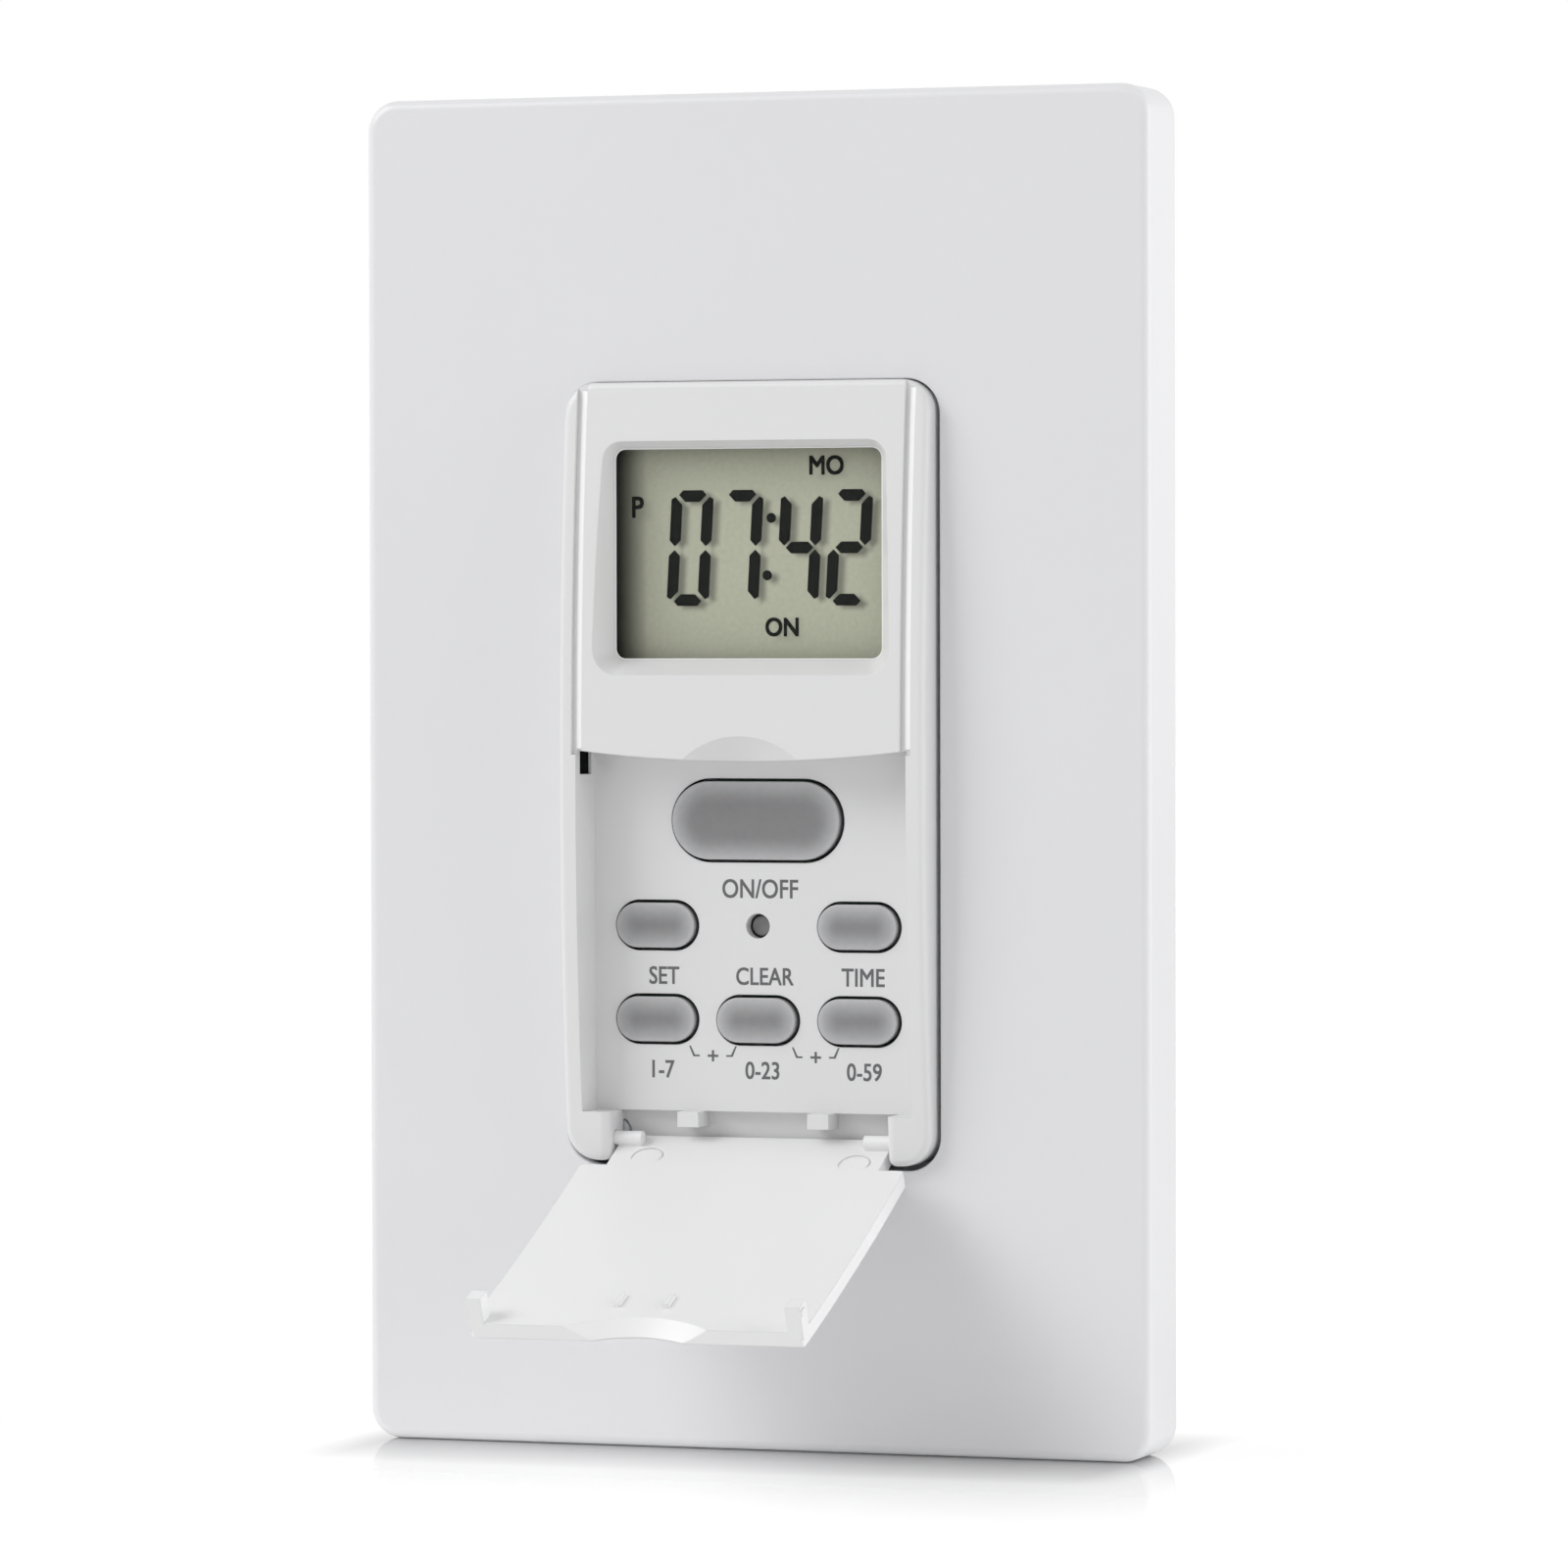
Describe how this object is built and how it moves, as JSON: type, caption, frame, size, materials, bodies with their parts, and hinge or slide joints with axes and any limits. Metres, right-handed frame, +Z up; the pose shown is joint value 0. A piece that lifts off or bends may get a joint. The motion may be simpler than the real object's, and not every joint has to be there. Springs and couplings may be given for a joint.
{
  "type": "timer light switch",
  "caption": "Wall timer light switch with a bowed front, a display, a rubber keypad behind a hinged lid, a clip-on plate and a relay in its rear housing.",
  "frame": {"origin": "midway between the two box screws, in the plane of the finished wall", "axes": "+X right and +Z up as seen from the front, +Y back into the wall box"},
  "size_m": [0.0698, 0.065, 0.1142],
  "materials": {
    "plate_plastic": "satin white, smooth",
    "frame_plastic": "matt white",
    "cover_plastic": "satin white, smooth",
    "lid_plastic": "satin white, smooth",
    "housing_plastic": "matt black",
    "strap_steel": "zinc plated",
    "zinc_steel": "zinc plated",
    "green_screw": "green",
    "clear_lens": "clear",
    "lcd_glass": "clear with a grey-green tint",
    "lcd_reflector": "grey-green",
    "black_rubber": "matt black",
    "key_silicone": "translucent grey",
    "plunger_plastic": "grey",
    "black_plastic": "matt black",
    "circuit_board": "green solder mask",
    "cell_steel": "nickel plated",
    "link_pins": "black insulators, plated pins",
    "brass": "satin",
    "relay_blue": "blue",
    "copper_wire": "enamelled copper",
    "capacitor_yellow": "yellow",
    "capacitor_sleeve": "dark sleeve",
    "varistor_blue": "blue coating",
    "resistor_body": "pale blue"
  },
  "bodies": {
    "case": {"wall_plate": "plate_plastic", "plate_frame": "frame_plastic", "plate_frame_screws": "zinc_steel", "mounting_strap": "strap_steel", "box_screws": "zinc_steel", "ground_screw": "green_screw", "front_cover": "cover_plastic", "display_window": "clear_lens", "lcd_front_glass": "lcd_glass", "lcd_rear_glass": "lcd_glass", "lcd_reflector": "lcd_reflector", "lcd_holder": "frame_plastic", "contact_strip": "black_rubber", "control_board": "circuit_board", "control_board_screws": "zinc_steel", "keypad_mat": "key_silicone", "reset_switch": "black_plastic", "microcontroller": "black_plastic", "clock_crystal": "zinc_steel", "battery_holder": "black_plastic", "backup_battery": "cell_steel", "board_link": "link_pins", "rear_housing": "housing_plastic", "housing_screws": "zinc_steel", "terminal_plates": "brass", "terminal_screws": "brass", "power_board": "circuit_board", "power_board_screws": "zinc_steel", "relay_base": "black_plastic", "relay_cover": "relay_blue", "relay_bobbin": "black_plastic", "relay_coil": "copper_wire", "relay_yoke": "zinc_steel", "relay_fixed_contacts": "brass", "film_capacitor": "capacitor_yellow", "filter_capacitors": "capacitor_sleeve", "varistor": "varistor_blue", "diodes": "black_plastic", "fuse_resistor": "resistor_body", "manual_key_web": "key_silicone", "prog_key_web": "key_silicone", "clock_key_web": "key_silicone", "day_key_web": "key_silicone", "hour_key_web": "key_silicone", "minute_key_web": "key_silicone"},
    "lid": {"lid": "lid_plastic"},
    "reset_plunger": {"reset_plunger": "plunger_plastic"},
    "relay_armature": {"relay_armature": "zinc_steel"},
    "manual_key": {"manual_key": "key_silicone", "manual_key_pill": "black_rubber"},
    "prog_key": {"prog_key": "key_silicone", "prog_key_pill": "black_rubber"},
    "clock_key": {"clock_key": "key_silicone", "clock_key_pill": "black_rubber"},
    "day_key": {"day_key": "key_silicone", "day_key_pill": "black_rubber"},
    "hour_key": {"hour_key": "key_silicone", "hour_key_pill": "black_rubber"},
    "minute_key": {"minute_key": "key_silicone", "minute_key_pill": "black_rubber"}
  },
  "joints": [
    {"name": "lid_hinge", "type": "hinge", "parent": "case", "child": "lid", "pos_m": [0, -0.0073, -0.031], "axis": [1, 0, 0], "range_deg": [-111.1, 0]},
    {"name": "manual_key_press", "type": "slide", "parent": "case", "child": "manual_key", "axis": [0, 1, 0], "range_m": [0, 0.0007], "stiffness_N_per_m": 600, "deforming": ["manual_key_web"]},
    {"name": "prog_key_press", "type": "slide", "parent": "case", "child": "prog_key", "axis": [0, 1, 0], "range_m": [0, 0.0007], "stiffness_N_per_m": 600, "deforming": ["prog_key_web"]},
    {"name": "clock_key_press", "type": "slide", "parent": "case", "child": "clock_key", "axis": [0, 1, 0], "range_m": [0, 0.0007], "stiffness_N_per_m": 600, "deforming": ["clock_key_web"]},
    {"name": "day_key_press", "type": "slide", "parent": "case", "child": "day_key", "axis": [0, 1, 0], "range_m": [0, 0.0007], "stiffness_N_per_m": 600, "deforming": ["day_key_web"]},
    {"name": "hour_key_press", "type": "slide", "parent": "case", "child": "hour_key", "axis": [0, 1, 0], "range_m": [0, 0.0007], "stiffness_N_per_m": 600, "deforming": ["hour_key_web"]},
    {"name": "minute_key_press", "type": "slide", "parent": "case", "child": "minute_key", "axis": [0, 1, 0], "range_m": [0, 0.0007], "stiffness_N_per_m": 600, "deforming": ["minute_key_web"]},
    {"name": "reset_press", "type": "slide", "parent": "case", "child": "reset_plunger", "axis": [0, 1, 0], "range_m": [0, 0.00025], "stiffness_N_per_m": 800},
    {"name": "relay_pull", "type": "hinge", "parent": "case", "child": "relay_armature", "pos_m": [-0.00915, 0.01195, 0.0141], "axis": [1, 0, 0], "range_deg": [0, 4], "stiffness_Nm_per_rad": 0.002}
  ]
}
